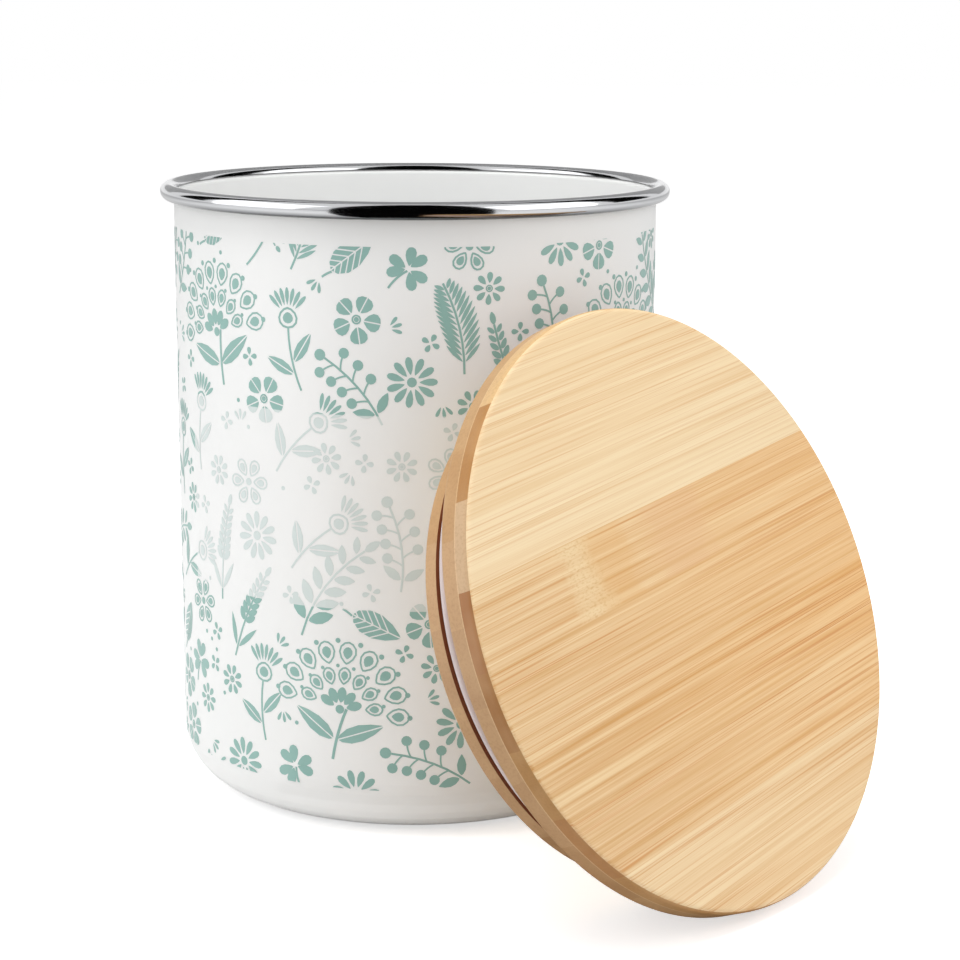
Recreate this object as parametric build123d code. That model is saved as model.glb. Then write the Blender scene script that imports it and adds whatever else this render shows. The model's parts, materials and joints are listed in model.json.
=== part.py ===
from build123d import *
from math import atan2, cos, pi, radians, sin, sqrt, tan
import os

# Enamelled steel storage tin with a bright rim, and its turned bamboo lid leaning against it.
# Millimetres, +Z up. The origin is the centre of the tin's underside, and the front looks along -Y.

# Tin: one pressed sheet with a raised base panel and a lip turned outwards
tin_height = 132.6
body_diameter = 104.8
sheet_thickness = 0.7
base_corner_radius = 12.2
base_ring_width = 3.0
base_step_width = 2.0
base_panel_rise = 1.2
lip_bend = 0.3
lip_width = 1.9

# Rim: a stainless strip rolled round the lip, flush with the inside of the wall
rim_diameter = 3.6
crimp_gap = 0.05

# Lid: one turned board with a flange, a neck, a seal groove and a rear land
lid_overhang = 4.5
flange_thickness = 7.0
neck_width = 1.5
groove_width = 9.1
land_width = 3.5
groove_depth = 3.0
plug_clearance = 0.8
flange_edge = 0.6
land_edge = 0.6

# Seal: a moulded ring with two lips that press on the inside of the wall
seal_slack = 1.0
seal_squeeze = 0.3
seal_lip_height = 2.0
seal_lip_root = 3.0
seal_lip_tip = 1.0

# How the lid leans: the way its face looks, seen from above and from the side, and its sideways shift
lid_turn = 48.4
lid_tilt = 23.1
lid_shift = -19.0
lean_clearance = 0.2
lean_samples = 720

# Flats that stand for the round stretches of a section
corner_flats = 5
rim_flats = 12

# Radii and heights that follow from the sizes above
wall_radius = body_diameter / 2
inner_radius = wall_radius - sheet_thickness
rim_centre_radius = inner_radius + rim_diameter / 2
rim_centre_height = tin_height - rim_diameter / 2
rim_radius = inner_radius + rim_diameter
flange_radius = rim_radius + lid_overhang
plug_radius = inner_radius - plug_clearance
groove_radius = plug_radius - groove_depth
seal_radius = inner_radius + seal_squeeze
neck_back = flange_thickness + neck_width
groove_back = neck_back + groove_width
lid_thickness = groove_back + land_width


def round_stretch(middle, radius, start, sweep, flats):
    """Points along an arc of a section, from a start angle through a sweep in degrees."""
    angles = [radians(start + sweep * step / flats) for step in range(flats + 1)]
    return [(middle[0] + radius * cos(angle), middle[1] + radius * sin(angle)) for angle in angles]


def turned(points):
    """A closed outline of radii and heights, turned about the Z axis."""
    return revolve(Plane.XZ * make_face(Polyline(*points, close=True)), Axis.Z)


def lip_skin(inset, end_radius, start_height):
    """The top of the wall and its lip, at a distance inside the outer skin of the sheet."""
    lip_under = rim_centre_height - sheet_thickness / 2
    drift = inset * tan(pi / 8)
    return [
        (wall_radius - inset, start_height),
        (wall_radius - inset, lip_under - lip_bend + drift),
        (wall_radius + lip_bend - drift, lip_under + inset),
        (end_radius, lip_under + inset),
    ]


def body_skin(inset):
    """The sheet at a distance inside its outer skin: base panel, step, corner, wall and lip."""
    slope = atan2(base_panel_rise, base_step_width)
    drift = inset * tan(slope / 2)
    corner_inside = wall_radius - base_corner_radius
    step_foot = corner_inside - base_ring_width
    base = [
        (0, base_panel_rise + inset),
        (step_foot - base_step_width + drift, base_panel_rise + inset),
        (step_foot + drift, inset),
    ]
    corner = round_stretch(
        (corner_inside, base_corner_radius), base_corner_radius - inset, -90, 90, corner_flats
    )
    return base + corner + lip_skin(inset, wall_radius + lip_width, base_corner_radius)[1:]


def tin_body():
    """One pressed sheet of even thickness, from the base panel to the edge of the lip."""
    return turned(body_skin(0) + body_skin(sheet_thickness)[::-1])


def rim_band():
    """The strip rolled into a round bead, with a slot where it grips the lip."""
    bead = turned(round_stretch(
        (rim_centre_radius, rim_centre_height), rim_diameter / 2, 0, 360, rim_flats
    )[:-1])
    lip_end = wall_radius + lip_width + crimp_gap
    slot_foot = rim_centre_height - rim_diameter
    slot = turned(
        lip_skin(-crimp_gap, lip_end, slot_foot)
        + lip_skin(sheet_thickness + crimp_gap, lip_end, slot_foot)[::-1]
    )
    return bead - slot


def lid_outline():
    """Radius and depth behind the face at each corner of the turned board, from face to rear."""
    return [
        (flange_radius - flange_edge, 0),
        (flange_radius, flange_edge),
        (flange_radius, flange_thickness - flange_edge),
        (flange_radius - flange_edge, flange_thickness),
        (plug_radius, flange_thickness),
        (plug_radius, neck_back),
        (groove_radius, neck_back),
        (groove_radius, groove_back),
        (plug_radius, groove_back),
        (plug_radius, lid_thickness - land_edge),
        (plug_radius - land_edge, lid_thickness),
    ]


def bamboo_lid():
    """The board, with its face at height zero and its plug below."""
    edge = [(radius, -depth) for radius, depth in lid_outline()]
    return turned([(0, 0)] + edge + [(0, -lid_thickness)])


def seal_ring():
    """A flat band on the floor of the groove, with two tapered lips that stand proud of the plug."""
    front = -neck_back
    back = -(groove_back - seal_slack)
    root = seal_radius - seal_lip_height
    taper = (seal_lip_root - seal_lip_tip) / 2
    return turned([
        (groove_radius, front),
        (root, front),
        (seal_radius, front - taper),
        (seal_radius, front - taper - seal_lip_tip),
        (root, front - seal_lip_root),
        (root, back + seal_lip_root),
        (seal_radius, back + taper + seal_lip_tip),
        (seal_radius, back + taper),
        (root, back),
        (groove_radius, back),
    ])


def lid_place():
    """The plane of the leaning lid's face: lowest edge on the floor, rear edge just clear of the wall."""
    turn, tilt = radians(lid_turn), radians(lid_tilt)
    outward = Vector(sin(turn), -cos(turn), 0)
    sideways = Vector(cos(turn), sin(turn), 0)
    facing = outward * cos(tilt) + Vector(0, 0, sin(tilt))
    height = max(radius * cos(tilt) + depth * sin(tilt) for radius, depth in lid_outline())
    reach = wall_radius + lean_clearance
    standoff = 0
    for radius, depth in lid_outline():
        for step in range(lean_samples):
            angle = 2 * pi * step / lean_samples
            across = lid_shift + radius * cos(angle)
            behind = radius * sin(angle) * sin(tilt) + depth * cos(tilt)
            if abs(across) < reach:
                standoff = max(standoff, sqrt(reach ** 2 - across ** 2) + behind)
    centre = outward * standoff + sideways * lid_shift + Vector(0, 0, height)
    return Plane(origin=centre, x_dir=sideways, z_dir=facing)


place = lid_place()
nodes = {
    "tin_body": tin_body(),
    "rim_band": rim_band(),
    "bamboo_lid": place.location * bamboo_lid(),
    "seal_ring": place.location * seal_ring(),
}
os.makedirs("parts", exist_ok=True)
for name, solid in nodes.items():
    export_step(solid, f"parts/{name}.step")
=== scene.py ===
import json
import random
from math import ceil, copysign, cos, pi, radians, sin, tau

import bmesh
import bpy
import numpy as np
from mathutils import Matrix, Vector


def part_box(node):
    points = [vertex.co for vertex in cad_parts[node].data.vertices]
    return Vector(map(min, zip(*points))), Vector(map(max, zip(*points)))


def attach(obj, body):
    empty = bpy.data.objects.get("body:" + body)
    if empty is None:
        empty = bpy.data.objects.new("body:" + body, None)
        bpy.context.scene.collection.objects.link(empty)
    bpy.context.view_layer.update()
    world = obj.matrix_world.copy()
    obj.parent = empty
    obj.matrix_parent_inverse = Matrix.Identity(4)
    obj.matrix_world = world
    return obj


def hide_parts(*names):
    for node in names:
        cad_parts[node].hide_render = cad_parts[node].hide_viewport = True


# Enamelled storage tin with a bright rim and a mint botanical print, and its bamboo lid leaning on it.
# Sizes are in millimetres and become metres through MM. Azimuth 0 is the front, -Y, and grows towards +X.

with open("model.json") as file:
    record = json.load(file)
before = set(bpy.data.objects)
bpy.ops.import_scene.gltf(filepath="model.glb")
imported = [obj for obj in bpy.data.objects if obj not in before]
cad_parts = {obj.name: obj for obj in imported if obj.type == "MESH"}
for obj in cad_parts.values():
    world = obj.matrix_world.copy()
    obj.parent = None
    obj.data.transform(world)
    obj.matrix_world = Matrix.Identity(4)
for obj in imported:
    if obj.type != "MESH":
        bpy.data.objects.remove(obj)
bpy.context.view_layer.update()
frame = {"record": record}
MM = 0.001
mounts = {mount["name"]: mount for mount in frame["record"]["mounts"]}

# Tin and rim
inner_radius = mounts["mouth"]["dims"]["r_mm"]
tin_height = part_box("rim_band")[1].z / MM
rim_radius = -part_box("rim_band")[0].x / MM
sheet_thickness = 0.7
wall_radius = inner_radius + sheet_thickness
base_corner_radius = 12.2
base_ring_width = 3.0
base_step_width = 2.0
base_panel_rise = 1.2
base_step_rounding = 0.8
lip_width = 1.9
lip_bend = 0.3
bead_radius = (rim_radius - inner_radius) / 2
bead_middle = (inner_radius + bead_radius, tin_height - bead_radius)
strip_thickness = 0.25
strip_inner_end = radians(168)
strip_sweep = radians(286)

# Lid and seal, measured from the lid's face
flange_radius = 59.8
flange_thickness = 7.0
plug_clearance = 0.8
plug_radius = inner_radius - plug_clearance
groove_depth = 3.0
groove_radius = plug_radius - groove_depth
groove_front = 8.5
groove_back = 17.6
lid_thickness = 21.1
lid_rounding = 1.1
seal_squeeze = 0.3
seal_radius = inner_radius + seal_squeeze
seal_back = 16.6
seal_lip_height = 2.0
seal_lip_root = 3.0
seal_rounding = 0.45

# The lid's own frame: sideways along its face, up its face, and out of it
facing = Vector(mounts["lid_face"]["axis"])
sideways = Vector((0, 0, 1)).cross(facing).normalized()
lid_middle = Vector(mounts["lid_face"]["pos_m"])
lid_turn = Matrix((sideways, facing.cross(sideways), facing)).transposed()
lid_frame = Matrix.Translation(lid_middle) @ lid_turn.to_4x4()

# Bamboo: the grain's slope on the face, the glued strips and the front ply. The strips' joint is placed
# across the grain and the knuckle along it, both from the face's middle.
grain_slope = radians(7.2)
strip_width = 14.6
strip_joint = 20.6
front_ply = 3.0
back_ply_stagger = 0.4
glue_line = 0.22
knuckle_place = -25.8
knuckle_wander = 5
knuckle_strip = 5
strip_count = 9
strips_below = 6
# Name, length and width of the fibres' figure, and its detail
fibre_sizes = (("band", 240, 9.0, 2), ("line", 110, 1.3, 4), ("hair", 50, 0.45, 2), ("thread", 70, 0.28, 1))
# Per strip from the foot of the face to its top: how strongly it is lined, and the tones of the plies' ends
lined_strips = (0.72, 0.66, 0.92, 1.0, 0.92, 0.88, 0.04, 0.4, 0.36)
front_ply_tones = (
    "#B28450", "#B48652", "#AB7642", "#B1834D", "#A2703E", "#A06B3D", "#C7A680", "#AC7B45", "#D2AE7C",
)
back_ply_tones = (
    "#B08759", "#B58C5F", "#AD8358", "#B68E64", "#BC956B", "#B68F67", "#BE976D", "#B99062", "#BB9467",
)

# Fineness of the meshes
turn_steps = 224
round_steps = 8
strip_steps = 48
card_steps = 12
merge_distance = 0.001
sharp_angle = radians(40)
# How far from a corner a supporting loop lies, and the shortest edge that gets one at each end
support = 0.35
supported_length = 4 * support
# Which faces of the lid count as flat, by their normals, and how far past the groove its dark painted-shade
# material reaches
flat_normal = 0.7
groove_margin = 0.1

# Print: the band that it covers, its ink, its lines, and how it is laid out
print_bottom = 11.0
print_top = 123.6
ink_thickness = 0.015
ink_lift = 0.03
bend_step = 3.0
blade_sides = 12
stalk_steps = 6
stalk_width = 0.45
vein_width = 0.28
middle_share = 0.52
motif_gap = 0.85
print_seed = 24
placing_tries = 140
print_overrun = 2
round_length = tau * wall_radius
# The paler zone of the print at the front
pale_half_angle = radians(62)
pale_bottom = 49.4
pale_top = 89.7
pale_softness = 0.06

# Camera, fitted to the outlines of the tin and the lid in the photograph
image_width = 960
focal_pixels = 2329.6
camera_place = Vector((14.28, -510.75, 172.78)) * MM
camera_pitch = 0.2063
camera_roll = -0.0038
sensor_width = 36.0

# Studio, in metres: level of the even light, what lifts the paper in reflections, and how far it reaches
world_level = 0.51
mirrored_lift = 0.15
floor_reach = 4
# Outlines of the cards, out from the middle and up, and then each card with its azimuths and its tone
tall_card = ((0.12, 0.001), (0.7, 0.001), (0.9, 0.2), (0.9, 0.6), (0.6, 1.0), (0.1, 1.15))
high_card = ((0.9, 0.25), (0.9, 0.6), (0.6, 1.0), (0.1, 1.15))
floor_card = ((0.0555, 0.001), (0.12, 0.001))
cards = (
    ("front_card", tall_card, -35, 35, "#050505"), ("floor_card", floor_card, -38, 38, "#050505"),
    ("left_card", high_card, -126, -104, "#050505"), ("right_card", high_card, 98, 128, "#050505"),
    ("back_card", high_card, 140, 220, "#C4C4C4"),
)
# Each lamp's place, width, height and power, and whether reflections show it
softboxes = (
    ("left_softbox", (-0.83, -0.25, 0.45), 0.85, 0.9, 2.5, True),
    ("right_softbox", (0.77, -0.38, 0.5), 0.85, 0.9, 2.7, True),
    ("overhead_softbox", (-0.05, -0.1, 0.6), 0.4, 0.4, 2.2, False),
)
lamp_aim = Vector((20, -20, 60)) * MM


def colour(code):
    """Linear RGBA of an sRGB hex colour."""
    channels = [int(code[place:place + 2], 16) / 255 for place in (1, 3, 5)]
    return [c / 12.92 if c <= 0.04045 else ((c + 0.055) / 1.055) ** 2.4 for c in channels] + [1]


def node(tree, kind, settings=None, inputs=None):
    """Adds a node with its settings, and sets each input to a value or links it to another node's output."""
    made = tree.nodes.new(kind)
    for name, value in (settings or {}).items():
        if name == "stops":
            for place, code in value[1:-1]:
                made.color_ramp.elements.new(place)
            for element, (place, code) in zip(made.color_ramp.elements, value):
                element.position = place
                element.color = colour(code)
        elif name == "interpolation":
            made.color_ramp.interpolation = value
        else:
            setattr(made, name, value)
    for name, value in (inputs or {}).items():
        if isinstance(value, bpy.types.NodeSocket):
            tree.links.new(value, made.inputs[name])
        else:
            made.inputs[name].default_value = value
    return made


def new_material(name):
    """A material with its tree and its surface shader."""
    material = bpy.data.materials.new(name)
    material.use_nodes = True
    return material, material.node_tree, material.node_tree.nodes["Principled BSDF"]


# Materials


def vitreous_enamel():
    """Glass fired on steel: a clean white with a hard gloss and the faint ripple of a dipped coat."""
    material, tree, shader = new_material("vitreous_enamel")
    place = node(tree, "ShaderNodeTexCoord").outputs["Object"]
    cloud = node(tree, "ShaderNodeTexNoise", {}, {"Vector": place, "Scale": 1 / (30 * MM), "Detail": 2})
    white = node(tree, "ShaderNodeMix", {"data_type": "RGBA"}, {
        "Factor": cloud.outputs["Fac"], "A": colour("#F4F4F3"), "B": colour("#EEEFEE"),
    })
    ripple = node(tree, "ShaderNodeTexNoise", {}, {"Vector": place, "Scale": 1 / (5 * MM), "Detail": 1})
    skin = node(tree, "ShaderNodeBump", {}, {
        "Height": ripple.outputs["Fac"], "Strength": 0.25, "Distance": 0.02 * MM,
    })
    gloss = node(tree, "ShaderNodeMapRange", {}, {
        "Value": cloud.outputs["Fac"], "To Min": 0.26, "To Max": 0.34,
    })
    tree.links.new(white.outputs["Result"], shader.inputs["Base Color"])
    tree.links.new(gloss.outputs["Result"], shader.inputs["Roughness"])
    tree.links.new(skin.outputs["Normal"], shader.inputs["Normal"])
    return material


def fired_print():
    """Ceramic ink fired into the enamel: mint with the same gloss, and paler in a zone at the front."""
    material, tree, shader = new_material("fired_mint_print")
    place = node(tree, "ShaderNodeTexCoord").outputs["Object"]
    axes = node(tree, "ShaderNodeSeparateXYZ", {}, {"Vector": place})
    front = node(tree, "ShaderNodeMath", {"operation": "MULTIPLY"}, {0: axes.outputs["Y"], 1: -1})
    azimuth = node(tree, "ShaderNodeMath", {"operation": "ARCTAN2"}, {
        0: axes.outputs["X"], 1: front.outputs["Value"],
    })
    offset = node(tree, "ShaderNodeMath", {"operation": "ABSOLUTE"}, {0: azimuth.outputs["Value"]})
    inside = node(tree, "ShaderNodeMapRange", {}, {
        "Value": offset.outputs["Value"], "To Min": 1, "To Max": 0,
        "From Min": pale_half_angle - pale_softness / wall_radius,
        "From Max": pale_half_angle + pale_softness / wall_radius,
    })
    over = node(tree, "ShaderNodeMapRange", {}, {
        "Value": axes.outputs["Z"],
        "From Min": (pale_bottom - pale_softness) * MM, "From Max": (pale_bottom + pale_softness) * MM,
    })
    under = node(tree, "ShaderNodeMapRange", {}, {
        "Value": axes.outputs["Z"], "To Min": 1, "To Max": 0,
        "From Min": (pale_top - pale_softness) * MM, "From Max": (pale_top + pale_softness) * MM,
    })
    band = node(tree, "ShaderNodeMath", {"operation": "MULTIPLY"}, {
        0: over.outputs["Result"], 1: under.outputs["Result"],
    })
    zone = node(tree, "ShaderNodeMath", {"operation": "MULTIPLY"}, {
        0: inside.outputs["Result"], 1: band.outputs["Value"],
    })
    cloud = node(tree, "ShaderNodeTexNoise", {}, {"Vector": place, "Scale": 1 / (9 * MM), "Detail": 3})
    mint = node(tree, "ShaderNodeMix", {"data_type": "RGBA"}, {
        "Factor": cloud.outputs["Fac"], "A": colour("#96BDB6"), "B": colour("#8BB3AB"),
    })
    ink = node(tree, "ShaderNodeMix", {"data_type": "RGBA"}, {
        "Factor": zone.outputs["Value"], "A": mint.outputs["Result"], "B": colour("#D4DEDC"),
    })
    tree.links.new(ink.outputs["Result"], shader.inputs["Base Color"])
    shader.inputs["Roughness"].default_value = 0.3
    return material


def polished_stainless():
    """Rolled stainless strip, polished: a mirror with hair lines round it, and painted shade that darkens it
    where it turns under.
    """
    material, tree, shader = new_material("polished_stainless")
    place = node(tree, "ShaderNodeTexCoord").outputs["Object"]
    across = node(tree, "ShaderNodeVectorMath", {"operation": "MULTIPLY"}, {0: place, 1: (1, 1, 0)})
    radius = node(tree, "ShaderNodeVectorMath", {"operation": "LENGTH"}, {0: across.outputs["Vector"]})
    height = node(tree, "ShaderNodeSeparateXYZ", {}, {"Vector": place})
    section = node(tree, "ShaderNodeCombineXYZ", {}, {
        "X": radius.outputs["Value"], "Y": height.outputs["Z"],
    })
    lines = node(tree, "ShaderNodeTexNoise", {}, {
        "Vector": section.outputs["Vector"], "Scale": 1 / (0.25 * MM), "Detail": 2,
    })
    gloss = node(tree, "ShaderNodeMapRange", {}, {
        "Value": lines.outputs["Fac"], "To Min": 0.05, "To Max": 0.14,
    })
    # Painted shade: towards the strip's underside its base colour turns from bright steel to dark grey.
    under = node(tree, "ShaderNodeMapRange", {}, {
        "Value": height.outputs["Z"], "To Min": 1, "To Max": 0,
        "From Min": (bead_middle[1] - 0.8 * bead_radius) * MM,
        "From Max": (bead_middle[1] - 0.3 * bead_radius) * MM,
    })
    steel = node(tree, "ShaderNodeMix", {"data_type": "RGBA"}, {
        "Factor": under.outputs["Result"], "A": colour("#C9CACC"), "B": colour("#5E5F61"),
    })
    tree.links.new(steel.outputs["Result"], shader.inputs["Base Color"])
    shader.inputs["Metallic"].default_value = 1
    tree.links.new(gloss.outputs["Result"], shader.inputs["Roughness"])
    return material


def moulded_silicone():
    """Milky moulded silicone: pale, soft to light, with a dull sheen."""
    material, tree, shader = new_material("moulded_silicone")
    place = node(tree, "ShaderNodeTexCoord").outputs["Object"]
    haze = node(tree, "ShaderNodeTexNoise", {}, {"Vector": place, "Scale": 1 / (6 * MM), "Detail": 2})
    milk = node(tree, "ShaderNodeMix", {"data_type": "RGBA"}, {
        "Factor": haze.outputs["Fac"], "A": colour("#D5C8C6"), "B": colour("#C8BAB8"),
    })
    tree.links.new(milk.outputs["Result"], shader.inputs["Base Color"])
    shader.inputs["Roughness"].default_value = 0.42
    shader.inputs["Subsurface Weight"].default_value = 0.25
    shader.inputs["Subsurface Radius"].default_value = (1.2 * MM, 1.0 * MM, 1.0 * MM)
    shader.inputs["Subsurface Scale"].default_value = 1
    return material


def grain_place(tree):
    """Coordinates along the grain, across it and out of the lid's face."""
    place = node(tree, "ShaderNodeTexCoord").outputs["Object"]
    turn = (lid_turn @ Matrix.Rotation(grain_slope, 3, "Z")).to_euler()
    return node(tree, "ShaderNodeMapping", {"vector_type": "TEXTURE"}, {
        "Vector": place, "Location": lid_middle, "Rotation": turn,
    }).outputs["Vector"]


def strip_value(tree, across, values):
    """The strip that a place is in, counted from the foot of the face, and that strip's own colour."""
    span = node(tree, "ShaderNodeMapRange", {}, {
        "Value": across,
        "From Min": (strip_joint - strips_below * strip_width) * MM,
        "From Max": (strip_joint + (strip_count - strips_below) * strip_width) * MM,
    })
    stops = [(step / strip_count, code) for step, code in enumerate(values)]
    tone = node(tree, "ShaderNodeValToRGB", {"interpolation": "CONSTANT", "stops": stops}, {
        "Fac": span.outputs["Result"],
    })
    count = node(tree, "ShaderNodeMath", {"operation": "MULTIPLY"}, {
        0: span.outputs["Result"], 1: strip_count,
    })
    strip = node(tree, "ShaderNodeMath", {"operation": "FLOOR"}, {0: count.outputs["Value"]})
    return strip.outputs["Value"], tone.outputs["Color"]


def bamboo_face():
    """Glued bamboo strips, planed along the grain: straw with orange fibre lines, a painted warm light
    towards the right, painted highlights along the fibres, and a knuckle of cane.
    """
    material, tree, shader = new_material("laminated_bamboo_face")
    grain = grain_place(tree)
    axes = node(tree, "ShaderNodeSeparateXYZ", {}, {"Vector": grain})
    greys = ["#" + 3 * f"{round(255 * share):02X}" for share in lined_strips]
    strip, lined = strip_value(tree, axes.outputs["Y"], greys)
    layer = node(tree, "ShaderNodeCombineXYZ", {}, {"Z": strip})
    own = node(tree, "ShaderNodeVectorMath", {"operation": "ADD"}, {0: grain, 1: layer.outputs["Vector"]})
    fibres = {}
    for name, length, width, detail in fibre_sizes:
        stretched = node(tree, "ShaderNodeVectorMath", {"operation": "MULTIPLY"}, {
            0: own.outputs["Vector"], 1: (1 / (length * MM), 1 / (width * MM), 1 / MM),
        })
        fibres[name] = node(tree, "ShaderNodeTexNoise", {}, {
            "Vector": stretched.outputs["Vector"], "Scale": 1, "Detail": detail, "Roughness": 0.6,
        }).outputs["Fac"]
    pale = node(tree, "ShaderNodeValToRGB", {"stops": (
        (0.34, "#EFD9B1"), (0.5, "#EBD1A7"), (0.66, "#E4C597"),
    )}, {"Fac": fibres["line"]})
    golden = node(tree, "ShaderNodeValToRGB", {"stops": (
        (0.34, "#E6C99A"), (0.5, "#D9B381"), (0.66, "#C99757"),
    )}, {"Fac": fibres["line"]})
    wood = node(tree, "ShaderNodeMix", {"data_type": "RGBA"}, {
        "Factor": lined, "A": pale.outputs["Color"], "B": golden.outputs["Color"],
    }).outputs["Result"]
    # Painted light: the lined strips turn a warmer orange towards the right of the face.
    painted_light_share = node(tree, "ShaderNodeMapRange", {}, {
        "Value": axes.outputs["X"],
        "From Min": -flange_radius * MM, "From Max": flange_radius * MM, "To Max": 0.38,
    })
    glow = node(tree, "ShaderNodeMath", {"operation": "MULTIPLY"}, {0: painted_light_share.outputs["Result"], 1: lined})
    # Painted highlight: pale streaks along the fibres, where they would catch the light.
    painted_fibre_highlight = node(tree, "ShaderNodeMapRange", {}, {
        "Value": fibres["hair"], "From Min": 0.5, "From Max": 0.7, "To Max": 0.3,
    })
    depth = node(tree, "ShaderNodeMapRange", {}, {"Value": lined, "To Min": 0.3, "To Max": 0.85})
    gather = node(tree, "ShaderNodeMapRange", {}, {
        "Value": fibres["band"], "From Min": 0.36, "From Max": 0.58,
        "To Min": 0.15, "To Max": depth.outputs["Result"],
    })
    drawn = node(tree, "ShaderNodeMapRange", {}, {
        "Value": fibres["thread"], "From Min": 0.55, "From Max": 0.63, "To Max": gather.outputs["Result"],
    })
    for share, tone in (
        (glow.outputs["Value"], "#F1B263"), (painted_fibre_highlight.outputs["Result"], "#F0DAB0"),
        (drawn.outputs["Result"], "#C9853F"),
    ):
        wood = node(tree, "ShaderNodeMix", {"data_type": "RGBA"}, {
            "Factor": share, "A": wood, "B": colour(tone),
        }).outputs["Result"]
    wood = knuckle(tree, grain, axes, strip, wood)
    sheen = node(tree, "ShaderNodeMapRange", {}, {"Value": fibres["hair"], "To Min": 0.42, "To Max": 0.58})
    raised = node(tree, "ShaderNodeBump", {}, {
        "Height": fibres["hair"], "Strength": 0.3, "Distance": 0.04 * MM,
    })
    tree.links.new(wood, shader.inputs["Base Color"])
    tree.links.new(sheen.outputs["Result"], shader.inputs["Roughness"])
    tree.links.new(raised.outputs["Normal"], shader.inputs["Normal"])
    return material


def knuckle(tree, grain, axes, strip, wood):
    """A joint of the cane across one strip: paler, speckled with fibre ends, with a glow beside it."""
    wander = node(tree, "ShaderNodeTexNoise", {}, {"Vector": grain, "Scale": 1 / (5 * MM), "Detail": 3})
    shift = node(tree, "ShaderNodeMapRange", {}, {
        "Value": wander.outputs["Fac"],
        "To Min": (-knuckle_place - knuckle_wander) * MM, "To Max": (-knuckle_place + knuckle_wander) * MM,
    })
    away = node(tree, "ShaderNodeMath", {"operation": "ADD"}, {
        0: axes.outputs["X"], 1: shift.outputs["Result"],
    })
    here = node(tree, "ShaderNodeMath", {"operation": "COMPARE"}, {0: strip, 1: knuckle_strip, 2: 0.1})
    dashes = node(tree, "ShaderNodeVectorMath", {"operation": "MULTIPLY"}, {
        0: grain, 1: (1 / (0.9 * MM), 1 / (0.4 * MM), 0),
    })
    ends = node(tree, "ShaderNodeTexNoise", {}, {
        "Vector": dashes.outputs["Vector"], "Scale": 1, "Detail": 1,
    })
    speck = node(tree, "ShaderNodeMapRange", {}, {
        "Value": ends.outputs["Fac"], "From Min": 0.5, "From Max": 0.7, "To Max": 0.7,
    })
    pith = node(tree, "ShaderNodeMix", {"data_type": "RGBA"}, {
        "Factor": speck.outputs["Result"], "A": colour("#E8CD9F"), "B": colour("#CBA066"),
    }).outputs["Result"]
    # Middle and reach along the grain, strength and tone of each patch
    for middle, reach, strength, tone in (
        (0, 7, 0.6, pith), (8, 9, 0.3, colour("#D9A663")), (30, 12, 0.3, colour("#DBAC80")),
    ):
        offset = node(tree, "ShaderNodeMath", {"operation": "SUBTRACT"}, {
            0: away.outputs["Value"], 1: middle * MM,
        })
        near = node(tree, "ShaderNodeMath", {"operation": "ABSOLUTE"}, {0: offset.outputs["Value"]})
        fade = node(tree, "ShaderNodeMapRange", {"interpolation_type": "SMOOTHSTEP"}, {
            "Value": near.outputs["Value"], "From Min": reach * 0.4 * MM, "From Max": reach * MM,
            "To Min": strength, "To Max": 0,
        })
        mask = node(tree, "ShaderNodeMath", {"operation": "MULTIPLY"}, {
            0: fade.outputs["Result"], 1: here.outputs["Value"],
        })
        wood = node(tree, "ShaderNodeMix", {"data_type": "RGBA"}, {
            "Factor": mask.outputs["Value"], "A": wood, "B": tone,
        }).outputs["Result"]
    return wood


def bamboo_edge():
    """The turned edge: fibre ends of a thin front ply over a thick one, with a pale glue line between."""
    material, tree, shader = new_material("laminated_bamboo_edge")
    grain = grain_place(tree)
    axes = node(tree, "ShaderNodeSeparateXYZ", {}, {"Vector": grain})
    front = strip_value(tree, axes.outputs["Y"], front_ply_tones)[1]
    staggered = node(tree, "ShaderNodeMath", {"operation": "ADD"}, {
        0: axes.outputs["Y"], 1: back_ply_stagger * strip_width * MM,
    })
    back = strip_value(tree, staggered.outputs["Value"], back_ply_tones)[1]
    ply = node(tree, "ShaderNodeMath", {"operation": "GREATER_THAN"}, {
        0: axes.outputs["Z"], 1: -front_ply * MM,
    })
    wood = node(tree, "ShaderNodeMix", {"data_type": "RGBA"}, {
        "Factor": ply.outputs["Value"], "A": back, "B": front,
    }).outputs["Result"]
    depth = node(tree, "ShaderNodeMath", {"operation": "COMPARE"}, {
        0: axes.outputs["Z"], 1: -front_ply * MM, 2: glue_line / 2 * MM,
    })
    line = node(tree, "ShaderNodeMath", {"operation": "MULTIPLY"}, {0: depth.outputs["Value"], 1: 0.5})
    bundles = node(tree, "ShaderNodeTexNoise", {}, {"Vector": grain, "Scale": 1 / (0.5 * MM), "Detail": 2})
    dark = node(tree, "ShaderNodeMapRange", {}, {
        "Value": bundles.outputs["Fac"], "From Min": 0.45, "From Max": 0.75, "To Max": 0.28,
    })
    cloud = node(tree, "ShaderNodeTexNoise", {}, {"Vector": grain, "Scale": 1 / (7 * MM), "Detail": 2})
    warm = node(tree, "ShaderNodeMapRange", {}, {
        "Value": cloud.outputs["Fac"], "From Min": 0.4, "From Max": 0.7, "To Max": 0.16,
    })
    for share, tone in (
        (line.outputs["Value"], "#E3C49A"), (dark.outputs["Result"], "#94693C"),
        (warm.outputs["Result"], "#DDB98B"),
    ):
        wood = node(tree, "ShaderNodeMix", {"data_type": "RGBA"}, {
            "Factor": share, "A": wood, "B": colour(tone),
        }).outputs["Result"]
    raised = node(tree, "ShaderNodeBump", {}, {
        "Height": bundles.outputs["Fac"], "Strength": 0.25, "Distance": 0.05 * MM,
    })
    tree.links.new(wood, shader.inputs["Base Color"])
    tree.links.new(raised.outputs["Normal"], shader.inputs["Normal"])
    shader.inputs["Roughness"].default_value = 0.5
    return material


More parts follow.
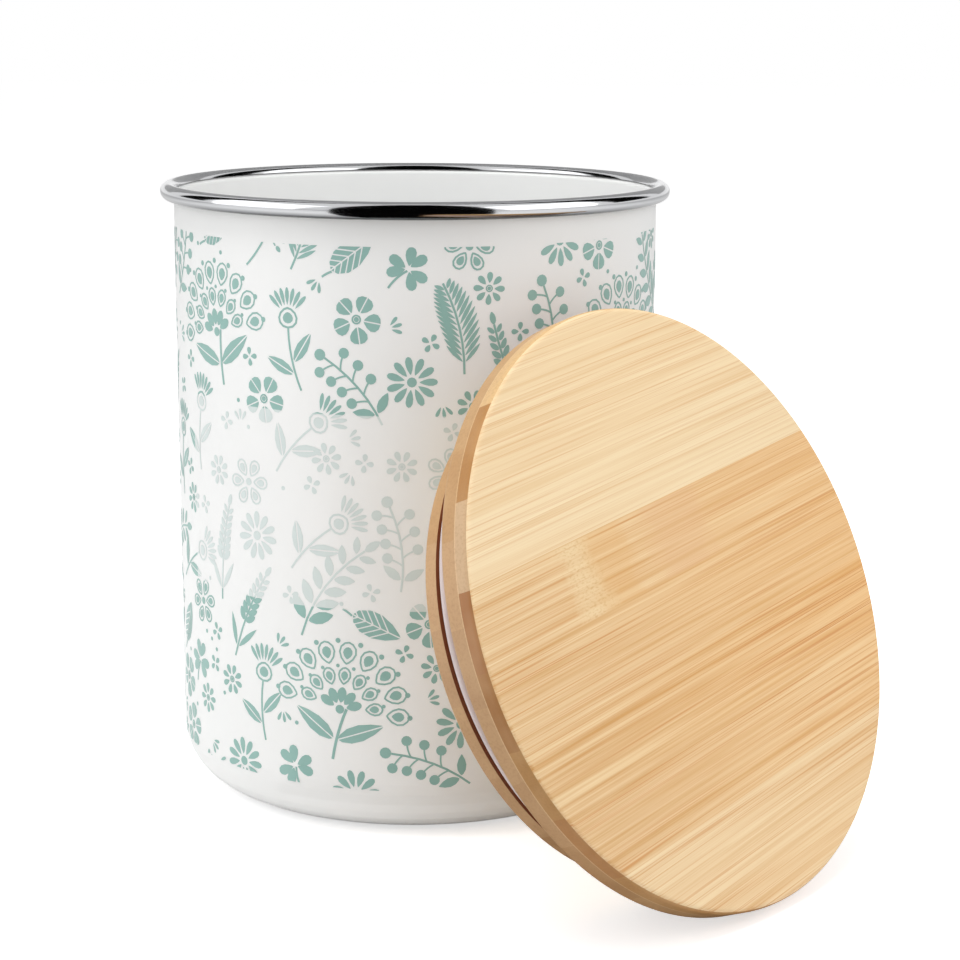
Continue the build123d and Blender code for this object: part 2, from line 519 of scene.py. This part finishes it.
def painted_shade_groove():
    """The floor and walls of the seal's groove: bamboo painted dark brown as the shade inside the deep
    groove, mottled at random.
    """
    material, tree, shader = new_material("groove_painted_shade")
    place = node(tree, "ShaderNodeTexCoord").outputs["Object"]
    shade_mottle = node(tree, "ShaderNodeTexNoise", {}, {"Vector": place, "Scale": 1 / (8 * MM), "Detail": 2})
    # Painted shade: a dark brown that stands in for the shadow inside the groove.
    wood = node(tree, "ShaderNodeMix", {"data_type": "RGBA"}, {
        "Factor": shade_mottle.outputs["Fac"], "A": colour("#7C4122"), "B": colour("#94522D"),
    })
    tree.links.new(wood.outputs["Result"], shader.inputs["Base Color"])
    shader.inputs["Roughness"].default_value = 0.6
    return material


def studio_floor():
    """Matt white paper that keeps the shadow, white behind the object and lifted a little in reflections."""
    material, tree, shader = new_material("white_paper")
    paper_white = colour("#F2F2F2")
    path = node(tree, "ShaderNodeLightPath")
    mirrored = node(tree, "ShaderNodeMath", {"operation": "MAXIMUM"}, {
        0: path.outputs["Is Glossy Ray"], 1: path.outputs["Is Transmission Ray"],
    })
    shown = node(tree, "ShaderNodeMath", {"operation": "MULTIPLY"}, {
        0: mirrored.outputs["Value"], 1: mirrored_lift,
    })
    lift = node(tree, "ShaderNodeMath", {"operation": "MULTIPLY_ADD"}, {
        0: path.outputs["Is Camera Ray"], 1: 1 - world_level * paper_white[0], 2: shown.outputs["Value"],
    })
    shader.inputs["Base Color"].default_value = paper_white
    shader.inputs["Roughness"].default_value = 0.9
    shader.inputs["Specular IOR Level"].default_value = 0
    shader.inputs["Emission Color"].default_value = (1, 1, 1, 1)
    tree.links.new(lift.outputs["Value"], shader.inputs["Emission Strength"])
    return material


def dull_cloth(tone):
    """Cloth of a studio card: black or grey, with no gloss."""
    material, tree, shader = new_material("dull_cloth")
    shader.inputs["Base Color"].default_value = colour(tone)
    shader.inputs["Roughness"].default_value = 1
    shader.inputs["Specular IOR Level"].default_value = 0
    return material


# Pieces


def turned(corners, closed=False):
    """Spins a section of (radius, height, rounding) corners about the Z axis."""
    bm = bmesh.new()
    verts = [bm.verts.new((radius * MM, 0, height * MM)) for radius, height, rounding in corners]
    for pair in zip(verts, verts[1:]):
        bm.edges.new(pair)
    if closed:
        bm.edges.new((verts[-1], verts[0]))
    for vert, (radius, height, rounding) in zip(verts, corners):
        if rounding:
            bmesh.ops.bevel(
                bm, geom=[vert], offset=rounding * MM, offset_type="OFFSET", segments=round_steps,
                profile=0.5, affect="VERTICES", material=-1,
            )
    for edge in [edge for edge in bm.edges if edge.calc_length() > supported_length * MM]:
        for end in edge.verts[:]:
            bmesh.utils.edge_split(edge, end, support * MM / edge.calc_length())
    spin_round(bm)
    return bm


def spin_round(bm):
    """Spins the wire in a mesh once round the Z axis, closes its poles and turns its faces outwards."""
    bmesh.ops.spin(
        bm, geom=bm.verts[:] + bm.edges[:], cent=(0, 0, 0), axis=(0, 0, 1), angle=tau,
        steps=turn_steps, use_merge=True,
    )
    bmesh.ops.remove_doubles(bm, verts=bm.verts[:], dist=merge_distance * MM)
    bmesh.ops.recalc_face_normals(bm, faces=bm.faces[:])


def piece(name, bm, materials, slot, *nodes):
    """An object that rides on the tin, smooth apart from its sharp edges, and stands for its CAD nodes."""
    for face in bm.faces:
        face.smooth = True
    for edge in bm.edges:
        edge.smooth = edge.calc_face_angle(0) < sharp_angle
    mesh = bpy.data.meshes.new(name)
    bm.to_mesh(mesh)
    bm.free()
    for material in materials:
        mesh.materials.append(material)
    made = bpy.data.objects.new(name, mesh)
    bpy.context.scene.collection.objects.link(made)
    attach(made, "root")
    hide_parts(*nodes)


def enamel_tin():
    """One sheet of even thickness: raised base panel, round corner, wall, and a lip inside the rim."""
    lip_under = bead_middle[1] - sheet_thickness / 2
    lip_end = wall_radius + lip_width
    step_foot = wall_radius - base_corner_radius - base_ring_width
    panel_edge = step_foot - base_step_width
    # How far out the corners of the base's step lie on the inside of the sheet
    drift = sheet_thickness * base_panel_rise / base_step_width / 2
    return turned([
        (0, base_panel_rise, 0),
        (panel_edge, base_panel_rise, base_step_rounding),
        (step_foot, 0, base_step_rounding),
        (wall_radius, 0, base_corner_radius),
        (wall_radius, lip_under, lip_bend),
        (lip_end, lip_under, 0),
        (lip_end, lip_under + sheet_thickness, 0),
        (inner_radius, lip_under + sheet_thickness, lip_bend + sheet_thickness),
        (inner_radius, sheet_thickness, base_corner_radius - sheet_thickness),
        (step_foot + drift, sheet_thickness, base_step_rounding),
        (panel_edge + drift, base_panel_rise + sheet_thickness, base_step_rounding),
        (0, base_panel_rise + sheet_thickness, 0),
    ])


def bright_rim():
    """A strip rolled round the lip, open underneath where the wall enters."""
    bm = bmesh.new()
    middle = Vector((bead_middle[0], 0, bead_middle[1])) * MM
    start = middle + Vector((cos(strip_inner_end), 0, sin(strip_inner_end))) * bead_radius * MM
    bmesh.ops.spin(
        bm, geom=[bm.verts.new(start)], cent=middle, axis=(0, 1, 0), angle=strip_sweep, steps=strip_steps,
    )
    spin_round(bm)
    bmesh.ops.solidify(bm, geom=bm.faces[:], thickness=strip_thickness * MM)
    return bm


def bamboo_lid():
    """A turned board: flange, neck, seal groove and rear land."""
    bm = turned([
        (0, 0, 0),
        (flange_radius, 0, lid_rounding),
        (flange_radius, -flange_thickness, lid_rounding),
        (plug_radius, -flange_thickness, 0),
        (plug_radius, -groove_front, 0),
        (groove_radius, -groove_front, 0),
        (groove_radius, -groove_back, 0),
        (plug_radius, -groove_back, 0),
        (plug_radius, -lid_thickness, lid_rounding),
        (0, -lid_thickness, 0),
    ])
    for face in bm.faces:
        depth = -face.calc_center_median().z / MM
        inside = lid_rounding < depth < lid_thickness - lid_rounding
        face.material_index = int(inside or abs(face.normal.z) < flat_normal)
        # The groove's faces take the dark painted-shade material.
        if groove_front - groove_margin < depth < groove_back + groove_margin:
            face.material_index = 2
    bmesh.ops.transform(bm, matrix=lid_frame, verts=bm.verts[:])
    return bm


def silicone_seal():
    """A band in the groove with two soft lips."""
    root = seal_radius - seal_lip_height
    taper = seal_lip_root / 3
    lips = []
    for front in (-groove_front, seal_lip_root - seal_back):
        lips += [
            (root, front, 0), (seal_radius, front - taper, seal_rounding),
            (seal_radius, front - 2 * taper, seal_rounding), (root, front - seal_lip_root, 0),
        ]
    bm = turned([(groove_radius, -groove_front, 0)] + lips + [(groove_radius, -seal_back, 0)], closed=True)
    bmesh.ops.transform(bm, matrix=lid_frame, verts=bm.verts[:])
    return bm


# Print: flat motifs in millimetres, drawn from a foot along +Y


def at(x, y, turn=0.0):
    """A place on the flat sheet, and the way that something there points."""
    return Matrix.Translation((x, y, 0)) @ Matrix.Rotation(turn, 4, "Z")


def along(spot, length, bend, share):
    """A place part of the way along an arc that starts at a spot and bends to the right."""
    radius = length / bend
    angle = bend * share
    return spot @ at(radius * (1 - cos(angle)), radius * sin(angle), -angle)


def blade(bm, spot, length, width, foot=0.5, tip=0.5):
    """A petal, leaf or berry. A foot or tip of 0.5 is round, and one of 1 is pointed."""
    made = bmesh.ops.create_circle(bm, cap_ends=True, segments=blade_sides, radius=1)
    widest = (foot / (foot + tip)) ** foot * (tip / (foot + tip)) ** tip
    for vert in made["verts"]:
        share = min(max((vert.co.y + 1) / 2, 0), 1)
        reach = share ** foot * (1 - share) ** tip / widest
        vert.co = (copysign(reach * width / 2, vert.co.x), share * length, 0)
    bmesh.ops.transform(bm, matrix=spot, verts=made["verts"])
    return made["verts"][0].link_faces[0]


def hollow(bm, face, wall):
    """Leaves an outline of a blade, and a smaller solid one in its middle."""
    copied = bmesh.ops.duplicate(bm, geom=[face])["geom"]
    middle = Matrix.Translation(-face.calc_center_median())
    bmesh.ops.scale(
        bm, vec=[middle_share] * 3, space=middle,
        verts=[part for part in copied if isinstance(part, bmesh.types.BMVert)],
    )
    bmesh.ops.inset_region(bm, faces=[face], thickness=wall, use_boundary=True, use_even_offset=True)
    bmesh.ops.delete(bm, geom=[face], context="FACES")


def stalk(bm, spot, length, bend, width=stalk_width):
    """A thin stem along an arc."""
    ends = [bm.verts.new(spot @ Vector((side * width / 2, 0, 0))) for side in (-1, 1)]
    bmesh.ops.spin(
        bm, geom=ends + [bm.edges.new(ends)], cent=spot @ Vector((length / bend, 0, 0)),
        axis=(0, 0, -1), angle=bend, steps=stalk_steps,
    )


def slit(bm, faces, through, heading, width):
    """Cuts a straight gap through flat faces and returns those that are left."""
    across = Vector((cos(heading), sin(heading), 0))
    for side in (-1, 1):
        edges = {edge for face in faces for edge in face.edges}
        verts = {vert for face in faces for vert in face.verts}
        cut = bmesh.ops.bisect_plane(
            bm, geom=faces + list(edges) + list(verts),
            plane_co=Vector(through) + across * side * width / 2, plane_no=across,
        )
        faces = [part for part in cut["geom"] if isinstance(part, bmesh.types.BMFace)]
    gone = [
        face for face in faces
        if abs((face.calc_center_median() - Vector(through)).dot(across)) < width / 2
    ]
    left = [face for face in faces if face not in gone]
    bmesh.ops.delete(bm, geom=gone, context="FACES")
    return left


def turns(count):
    """Even turns round a full circle."""
    return [tau * step / count for step in range(count)]


def fan(count, spread):
    """Even turns from one side to the other."""
    return [spread * (2 * step / (count - 1) - 1) for step in range(count)]


def daisy(bm):
    """Eleven slim petals round a solid eye."""
    for turn in turns(11):
        blade(bm, at(0, 0, turn) @ at(0, 1.5), 3.7, 1.5, 0.9)
    blade(bm, at(0, -1.0), 2.0, 2.0)


def small_daisy(bm):
    """Eight short petals round an open eye."""
    for turn in turns(8):
        blade(bm, at(0, 0, turn) @ at(0, 1.1), 2.2, 1.25, 0.9)
    hollow(bm, blade(bm, at(0, -0.75), 1.5, 1.5), 0.24)


def blossom(bm):
    """Five broad petals, each split by a vein, round an open eye."""
    for turn in turns(5):
        petal = blade(bm, at(0, 0, turn) @ at(0, 1.5), 3.5, 3.7, 0.8)
        slit(bm, [petal], at(0, 0, turn) @ Vector((0, 2, 0)), turn, vein_width)
    hollow(bm, blade(bm, at(0, -1.0), 2.0, 2.0), 0.32)


def windflower(bm):
    """Six outlined petals with solid middles, round an eye."""
    for turn in turns(6):
        hollow(bm, blade(bm, at(0, 0, turn) @ at(0, 1.3), 3.9, 2.8, 0.8), 0.36)
    blade(bm, at(0, -0.8), 1.6, 1.6)


def starlet(bm):
    """A tiny flower of four petals."""
    for turn in turns(4):
        blade(bm, at(0, 0, turn) @ at(0, 0.35), 1.6, 1.1, 0.9)


def drops(bm):
    """Three drops that fan out."""
    for turn in fan(3, radians(34)):
        blade(bm, at(0, -1.6) @ at(0, 0, turn) @ at(0, 0.8), 2.2, 0.75, 1.0)


def dot(bm):
    """A single dot."""
    blade(bm, at(0, -0.45), 0.9, 0.9)


def leaf_branch(bm):
    """Paired leaves along a bent stem."""
    length, bend, pairs = 24, 0.7, 6
    stalk(bm, at(0, 0), length, bend)
    for pair in range(pairs):
        share = (pair + 1) / (pairs + 0.5)
        size = 6.2 * (1 - 0.45 * share)
        for side in (-1, 1):
            spot = along(at(0, 0), length, bend, share) @ at(side * 0.5, 0, -side * radians(50))
            blade(bm, spot, size, size * 0.44, 0.8, 0.9)
    blade(bm, along(at(0, 0), length, bend, 1), 3.8, 1.8, 0.8, 0.9)


def fern(bm):
    """Fine leaflets, close together along a bent stem."""
    length, bend, pairs = 19, -0.5, 13
    stalk(bm, at(0, 0), length, bend)
    for pair in range(pairs):
        share = (pair + 2) / (pairs + 2)
        size = 5.6 * sin(pi * (0.22 + 0.7 * share))
        for side in (-1, 1):
            spot = along(at(0, 0), length, bend, share) @ at(side * 0.3, 0, -side * radians(42))
            blade(bm, spot, size, 0.85, 0.9, 0.9)


def lavender(bm):
    """Small buds stacked in whorls on a stem, with two narrow leaves at its foot."""
    length, bend, whorls = 21, 0.3, 7
    stalk(bm, at(0, 0), length, bend)
    for whorl in range(whorls):
        spot = along(at(0, 0), length, bend, 0.42 + 0.58 * whorl / whorls)
        size = 3.0 - 0.18 * whorl
        for turn in fan(2, radians(38)):
            blade(bm, spot @ at(-copysign(0.35, turn), 0, turn), size, size * 0.5, 0.6, 0.7)
    blade(bm, along(at(0, 0), length, bend, 1), 2.6, 1.3, 0.6, 0.7)
    for side in (-1, 1):
        spot = along(at(0, 0), length, bend, 0.12) @ at(side * 0.4, 0, -side * radians(30))
        blade(bm, spot, 7, 1.3, 0.8, 1)


def berry_sprig(bm):
    """Round berries on short stalks, left and right of a stem."""
    length, bend, berries = 18, -0.6, 7
    stalk(bm, at(0, 0), length, bend)
    for berry in range(berries):
        side = 1 if berry % 2 else -1
        spot = along(at(0, 0), length, bend, 0.3 + 0.66 * berry / berries) @ at(0, 0, -side * radians(48))
        stalk(bm, spot, 2.6, side * 0.4, stalk_width * 0.8)
        blade(bm, along(spot, 2.6, side * 0.4, 1) @ at(0, -0.1), 2.2, 2.2)
    blade(bm, along(at(0, 0), length, bend, 1), 2.4, 2.4)
    for side in (-1, 1):
        spot = along(at(0, 0), length, bend, 0.14) @ at(side * 0.4, 0, -side * radians(55))
        blade(bm, spot, 4.6, 2.0, 0.8, 1)


def thistle(bm):
    """A round head under a tuft, on a stem with two cut leaves."""
    length, bend = 13, 0.4
    stalk(bm, at(0, 0), length, bend)
    head = along(at(0, 0), length, bend, 1)
    hollow(bm, blade(bm, head @ at(0, -0.2), 4.4, 4.6, 0.5, 0.6), 0.42)
    for turn in fan(7, radians(44)):
        blade(bm, head @ at(0, 2.0) @ at(0, 0, turn) @ at(0, 2.6), 3.6, 0.9, 1, 0.6)
    for side, share in ((-1, 0.28), (1, 0.46)):
        spot = along(at(0, 0), length, bend, share) @ at(side * 0.4, 0, -side * radians(46))
        leaf = blade(bm, spot, 7.2, 2.6, 0.8, 1)
        slit(bm, [leaf], spot @ Vector((0, 3, 0)), spot.to_euler().z, vein_width)


def veined_leaf(bm):
    """A broad leaf with its midrib and side veins left open, on a short stalk."""
    stalk(bm, at(0, -2.4), 2.4, 0.3)
    halves = slit(bm, [blade(bm, at(0, 0), 11, 5.6, 0.6, 0.9)], (0, 0, 0), 0, vein_width)
    for side in (-1, 1):
        faces = [face for face in halves if face.calc_center_median().x * side > 0]
        for vein in range(5):
            faces = slit(bm, faces, (0, 1.2 + 1.75 * vein, 0), side * radians(-48) + pi / 2, vein_width)


def clover(bm):
    """Three heart-shaped leaves on a bent stalk."""
    stalk(bm, at(-1.2, -5.4), 5.2, 0.5)
    for turn in fan(3, radians(112)):
        for side in (-1, 1):
            blade(bm, at(0, 0, turn) @ at(side * 0.18, 0.6, -side * radians(24)), 3.8, 2.2, 0.9)


def seed_head(bm):
    """Fine rays, each with a seed at its end, on a thin stem."""
    length, bend = 9, -0.35
    stalk(bm, at(0, 0), length, bend)
    head = along(at(0, 0), length, bend, 1)
    for turn in fan(9, radians(112)):
        stalk(bm, head @ at(0, 0, turn) @ at(0, 0.7), 2.6, 0.12, stalk_width * 0.7)
        blade(bm, head @ at(0, 0, turn) @ at(0, 3.5), 1.5, 0.95, 0.6, 0.8)
    blade(bm, head @ at(0, -0.5), 1.0, 1.0)


def fan_bloom(bm):
    """A large layered bloom: rows of petals that open like a fan over two curled leaves."""
    for count, start, length, width, spread, outlined in (
        (5, 1.5, 3.4, 2.0, 66, False), (7, 5.4, 3.9, 2.9, 78, True), (9, 9.8, 5.0, 3.9, 86, True),
    ):
        for turn in fan(count, radians(spread)):
            petal = blade(bm, at(0, 0, turn) @ at(0, start), length, width, 0.8, 0.6)
            if outlined:
                hollow(bm, petal, 0.36)
    for turn in fan(10, radians(86)):
        blade(bm, at(0, 0, turn) @ at(0, 14.2), 1.1, 1.1)
    for turn in fan(8, radians(74)):
        blade(bm, at(0, 0, turn) @ at(0, 9.0), 0.8, 0.8)
    stalk(bm, at(0, -11), 11.5, 0.25, 0.6)
    for side in (-1, 1):
        spot = at(side * 0.5, -6.5, -side * radians(62))
        leaf = blade(bm, spot, 10.5, 3.6, 0.7, 1)
        slit(bm, [leaf], spot @ Vector((0, 4, 0)), spot.to_euler().z, vein_width)
    blade(bm, at(0, -0.9), 1.9, 1.9)


def stem_cover(length, bend, radius):
    """Discs that cover a motif along its stem: places and radii."""
    places = [along(at(0, 0), length, bend, share).translation for share in (0.08, 0.36, 0.64, 0.92)]
    return [(place.x, place.y, radius) for place in places]


# Each kind of motif from large to small: discs that it covers, how many, and how far it may turn
motif_plan = (
    (leaf_branch, stem_cover(26, 0.7, 3.6), 14, 1.1),
    (thistle, stem_cover(20, 0.4, 3.4), 11, 0.9),
    (lavender, stem_cover(22, 0.3, 2.8), 11, 1.0),
    (berry_sprig, stem_cover(19, -0.6, 3.8), 12, 1.0),
    (fern, stem_cover(19, -0.5, 3.3), 11, 1.2),
    (daisy, [(0, 0, 5.2)], 17, pi),
    (windflower, [(0, 0, 5.2)], 16, pi),
    (blossom, [(0, 0, 5.0)], 17, pi),
    (seed_head, stem_cover(12, -0.35, 2.8), 10, 1.2),
    (clover, [(0, 0, 4.4), (-0.8, -4.2, 1.2)], 14, 1.2),
    (veined_leaf, stem_cover(9, 0.1, 2.5), 20, 2.2),
    (small_daisy, [(0, 0, 3.3)], 30, pi),
    (drops, [(0, 0, 1.8)], 46, pi),
    (starlet, [(0, 0, 1.9)], 60, pi),
    (dot, [(0, 0, 0.5)], 70, pi),
)
# The large blooms: azimuth in degrees, height and turn
bloom_places = (
    (-50, 104, 0.2), (-16, 28, -0.15), (56, 101, -0.3), (92, 40, 0.3), (148, 98, 0.15), (-150, 36, -0.2),
    (-100, 64, 0.1),
)
bloom_cover = [(0, 6.6, 9.2), (-9.6, 3.6, 6.2), (9.6, 3.6, 6.2), (0, -6, 6.5)]


def lay_out():
    """Places for every motif: the large blooms where they are set, then each kind packed in at random."""
    draw = random.Random(print_seed)
    places = [
        (fan_bloom, at(radians(azimuth) * wall_radius, height, turn))
        for azimuth, height, turn in bloom_places
    ]
    taken = [disc for motif, spot in places for disc in moved(bloom_cover, spot)]
    for motif, cover, copies, swing in motif_plan:
        for copy in range(copies):
            found = []
            for attempt in range(placing_tries):
                spot = at(
                    draw.uniform(0, round_length),
                    draw.uniform(print_bottom - print_overrun, print_top + print_overrun),
                    draw.uniform(-swing, swing),
                )
                room = clearance(moved(cover, spot), taken)
                if room > motif_gap:
                    found.append((room, attempt, spot))
            if found:
                room, attempt, spot = min(found)
                places.append((motif, spot))
                taken.extend(moved(cover, spot))
    return places


def moved(cover, spot):
    """The discs of a motif at its place on the sheet."""
    return [(*(spot @ Vector((x, y, 0)))[:2], radius) for x, y, radius in cover]


def clearance(discs, taken):
    """The least gap between new discs and those already there, on a sheet that joins up with itself."""
    new, old = np.array(discs)[:, None], np.array(taken)[None]
    across = (new[..., 0] - old[..., 0] + round_length / 2) % round_length - round_length / 2
    return float((np.hypot(across, new[..., 1] - old[..., 1]) - new[..., 2] - old[..., 2]).min())


def flat_motif(motif):
    """A motif as a flat mesh whose faces all look the same way."""
    bm = bmesh.new()
    motif(bm)
    bmesh.ops.reverse_faces(bm, faces=[face for face in bm.faces if face.normal.z < 0])
    mesh = bpy.data.meshes.new(motif.__name__)
    bm.to_mesh(mesh)
    bm.free()
    return mesh


def cut_to_bend(bm):
    """Trims a laid motif to the printed band and cuts it where it will bend round the wall."""
    for height, outside in ((print_bottom, -1), (print_top, 1)):
        bmesh.ops.bisect_plane(
            bm, geom=bm.verts[:] + bm.edges[:] + bm.faces[:], plane_co=(0, height, 0),
            plane_no=(0, outside, 0), clear_outer=True,
        )
    reach = [vert.co.x for vert in bm.verts] or [0]
    for step in range(ceil(min(reach) / bend_step), ceil(max(reach) / bend_step)):
        bmesh.ops.bisect_plane(
            bm, geom=bm.verts[:] + bm.edges[:] + bm.faces[:], plane_co=(step * bend_step, 0, 0),
            plane_no=(1, 0, 0),
        )


def mint_motifs():
    """The print: flat motifs, cut, wrapped round the wall and given the thickness of the ink."""
    sheet = bmesh.new()
    flats = {}
    for motif, spot in lay_out():
        if motif not in flats:
            flats[motif] = flat_motif(motif)
        bm = bmesh.new()
        bm.from_mesh(flats[motif])
        bmesh.ops.transform(bm, matrix=spot, verts=bm.verts[:])
        cut_to_bend(bm)
        laid = bpy.data.meshes.new("laid")
        bm.to_mesh(laid)
        bm.free()
        sheet.from_mesh(laid)
        bpy.data.meshes.remove(laid)
    for vert in sheet.verts:
        angle = vert.co.x / wall_radius
        reach = (wall_radius + ink_lift + ink_thickness) * MM
        vert.co = (reach * sin(angle), -reach * cos(angle), vert.co.y * MM)
    sheet.normal_update()
    bmesh.ops.solidify(sheet, geom=sheet.faces[:], thickness=ink_thickness * MM)
    return sheet


# Stage


def place_camera():
    """The photograph's viewpoint: pitched down, with a slight roll."""
    data = bpy.data.cameras.new("camera")
    data.sensor_width = sensor_width
    data.lens = sensor_width * focal_pixels / image_width
    made = bpy.data.objects.new("camera", data)
    forward = Vector((0, cos(camera_pitch), -sin(camera_pitch)))
    level = Vector((1, 0, 0))
    down = forward.cross(level)
    right = level * cos(camera_roll) + down * sin(camera_roll)
    made.matrix_world = Matrix((right, forward.cross(right) * -1, -forward)).transposed().to_4x4()
    made.location = camera_place
    bpy.context.scene.collection.objects.link(made)
    bpy.context.scene.camera = made


def studio_card(name, section, start, end, tone):
    """A black or grey card between two azimuths that only reflections see."""
    bm = bmesh.new()
    first = Matrix.Rotation(radians(start) - pi / 2, 3, "Z")
    verts = [bm.verts.new(first @ Vector((out, 0, up))) for out, up in section]
    for pair in zip(verts, verts[1:]):
        bm.edges.new(pair)
    bmesh.ops.spin(
        bm, geom=bm.verts[:] + bm.edges[:], cent=(0, 0, 0), axis=(0, 0, 1),
        angle=radians(end - start), steps=card_steps,
    )
    mesh = bpy.data.meshes.new(name)
    bm.to_mesh(mesh)
    bm.free()
    mesh.materials.append(dull_cloth(tone))
    made = bpy.data.objects.new(name, mesh)
    made.visible_camera = False
    made.visible_diffuse = False
    made.visible_transmission = False
    made.visible_shadow = False
    bpy.context.scene.collection.objects.link(made)


def lay_floor():
    """A wide sheet of paper under the object."""
    bm = bmesh.new()
    bmesh.ops.create_grid(bm, x_segments=1, y_segments=1, size=floor_reach)
    mesh = bpy.data.meshes.new("floor")
    bm.to_mesh(mesh)
    bm.free()
    mesh.materials.append(studio_floor())
    made = bpy.data.objects.new("floor", mesh)
    bpy.context.scene.collection.objects.link(made)


def softbox(name, place, width, height, power, mirrored):
    """A large area lamp that looks at the middle of the object, and shows in reflections or not."""
    data = bpy.data.lights.new(name, "AREA")
    data.shape = "RECTANGLE"
    data.size = width
    data.size_y = height
    data.energy = power
    made = bpy.data.objects.new(name, data)
    aimed = (lamp_aim - Vector(place)).to_track_quat("-Z", "Y")
    made.matrix_world = Matrix.Translation(place) @ aimed.to_matrix().to_4x4()
    made.visible_glossy = mirrored
    bpy.context.scene.collection.objects.link(made)


def light_world():
    """Even light from all round, and plain white where the camera, metal or glass look past the object."""
    world = bpy.data.worlds.new("studio")
    bpy.context.scene.world = world
    world.use_nodes = True
    tree = world.node_tree
    path = node(tree, "ShaderNodeLightPath")
    seen = node(tree, "ShaderNodeMath", {"operation": "MAXIMUM"}, {
        0: path.outputs["Is Camera Ray"], 1: path.outputs["Is Glossy Ray"],
    })
    seen = node(tree, "ShaderNodeMath", {"operation": "MAXIMUM"}, {
        0: seen.outputs["Value"], 1: path.outputs["Is Transmission Ray"],
    })
    strength = node(tree, "ShaderNodeMapRange", {}, {
        "Value": seen.outputs["Value"], "To Min": world_level, "To Max": 1,
    })
    tree.links.new(strength.outputs["Result"], tree.nodes["Background"].inputs["Strength"])
    tree.nodes["Background"].inputs["Color"].default_value = (1, 1, 1, 1)


piece("enamel_tin", enamel_tin(), [vitreous_enamel()], "enamel", "tin_body")
piece("mint_print", mint_motifs(), [fired_print()], "enamel")
piece("bright_rim", bright_rim(), [polished_stainless()], "bright_steel", "rim_band")
piece("bamboo_board", bamboo_lid(), [bamboo_face(), bamboo_edge(), painted_shade_groove()], "bamboo", "bamboo_lid")
piece("silicone_seal", silicone_seal(), [moulded_silicone()], "silicone", "seal_ring")

place_camera()
lay_floor()
for card in cards:
    studio_card(*card)
for lamp in softboxes:
    softbox(*lamp)
light_world()
bpy.context.scene.view_settings.view_transform = "Standard"
